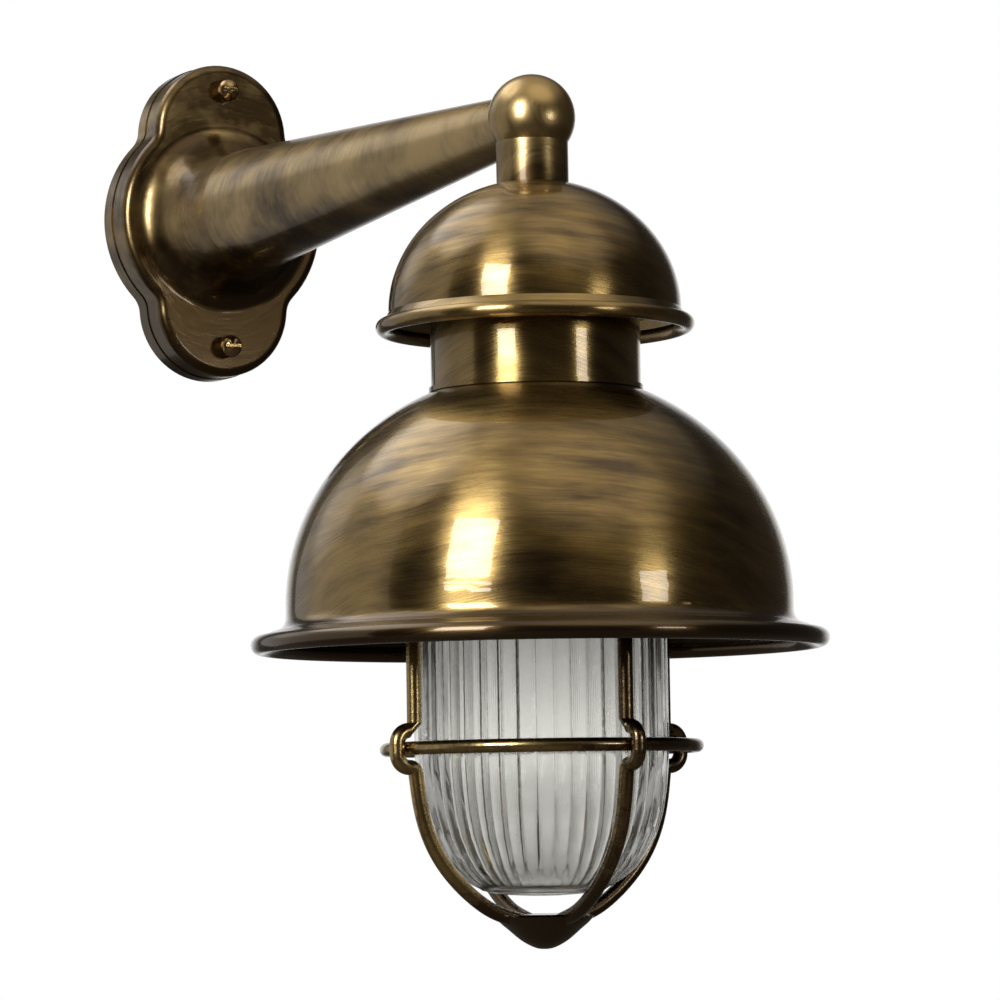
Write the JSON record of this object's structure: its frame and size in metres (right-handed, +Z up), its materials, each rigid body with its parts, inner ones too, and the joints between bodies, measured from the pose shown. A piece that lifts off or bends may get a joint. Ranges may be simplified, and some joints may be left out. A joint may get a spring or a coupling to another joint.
{
  "type": "ship lantern",
  "caption": "Wall-mounted ship lantern: lobed rosette and tapered arm carrying a domed cap and bell shade over a fluted glass jar in a wire guard.",
  "frame": {"origin": "middle of the wall face, level with the arm", "axes": "+Y into the wall, the arm reaches out along -Y, +Z up"},
  "size_m": [0.2, 0.388, 0.3525],
  "materials": {
    "cast_brass": "antique brass, coarsely brushed",
    "spun_brass": "antique brass, brushed and lacquered",
    "guard_bronze": "dark bronzed brass",
    "bright_brass": "bright turned brass",
    "solder": "soft solder",
    "steel": "drawn wire",
    "clear_glass": "clear, fluted outside",
    "black_rubber": "matt",
    "porcelain": "glazed",
    "brown_insulation": "satin",
    "blue_insulation": "satin",
    "green_insulation": "satin"
  },
  "bodies": {
    "fixture": {"wall_gasket": "black_rubber", "back_plate": "cast_brass", "mounting_studs": "bright_brass", "rosette_nuts": "bright_brass", "bracket_arm": "cast_brass", "nipple": "bright_brass", "stem_tube": "cast_brass", "cap_dome": "spun_brass", "cap_spacer": "bright_brass", "neck": "spun_brass", "neck_locknut": "bright_brass", "holder_locknut": "bright_brass", "shade": "spun_brass", "gallery": "bright_brass", "gallery_screws": "bright_brass", "holder_cap": "bright_brass", "holder_barrel": "bright_brass", "holder_insulator": "porcelain", "holder_terminals": "bright_brass", "plunger_springs": "steel", "terminal_block": "porcelain", "terminal_sleeves": "bright_brass", "terminal_screws": "bright_brass", "live_lead": "brown_insulation", "neutral_lead": "blue_insulation", "earth_lead": "green_insulation", "earth_screw": "bright_brass"},
    "jar_and_seals": {"jar": "clear_glass", "upper_jar_seal": "black_rubber", "lower_jar_seal": "black_rubber"},
    "guard": {"guard_collar": "guard_bronze", "guard_ring": "guard_bronze", "guard_tip": "guard_bronze", "guard_bar_1": "guard_bronze", "guard_bar_2": "guard_bronze", "guard_bar_3": "guard_bronze", "guard_bar_4": "guard_bronze"},
    "contact_pins": {"plungers": "bright_brass"},
    "bulb": {"bulb_cap": "bright_brass", "bulb_pins": "bright_brass", "bulb_contacts": "solder", "bulb_glass": "clear_glass", "bulb_filament": "steel"}
  },
  "joints": [
    {"name": "jar_lower", "type": "slide", "parent": "fixture", "child": "jar_and_seals", "axis": [0, 0, -1], "range_m": [0, 0.0061]},
    {"name": "guard_turn", "type": "hinge", "parent": "jar_and_seals", "child": "guard", "pos_m": [0, -0.288, -0.12], "axis": [0, 0, -1], "range_deg": [0, 720]},
    {"name": "bulb_push", "type": "slide", "parent": "fixture", "child": "contact_pins", "axis": [0, 0, 1], "range_m": [0, 0.0025], "stiffness_N_per_m": 3000, "springref_m": -0.002, "deforming": ["plunger_springs"]},
    {"name": "bulb_turn", "type": "hinge", "parent": "contact_pins", "child": "bulb", "pos_m": [0, -0.288, -0.1], "axis": [0, 0, -1], "range_deg": [0, 18]}
  ],
  "couplings": [
    {"joint": "jar_lower", "follows": "guard_turn", "m_per_rad": 0.00047746}
  ]
}
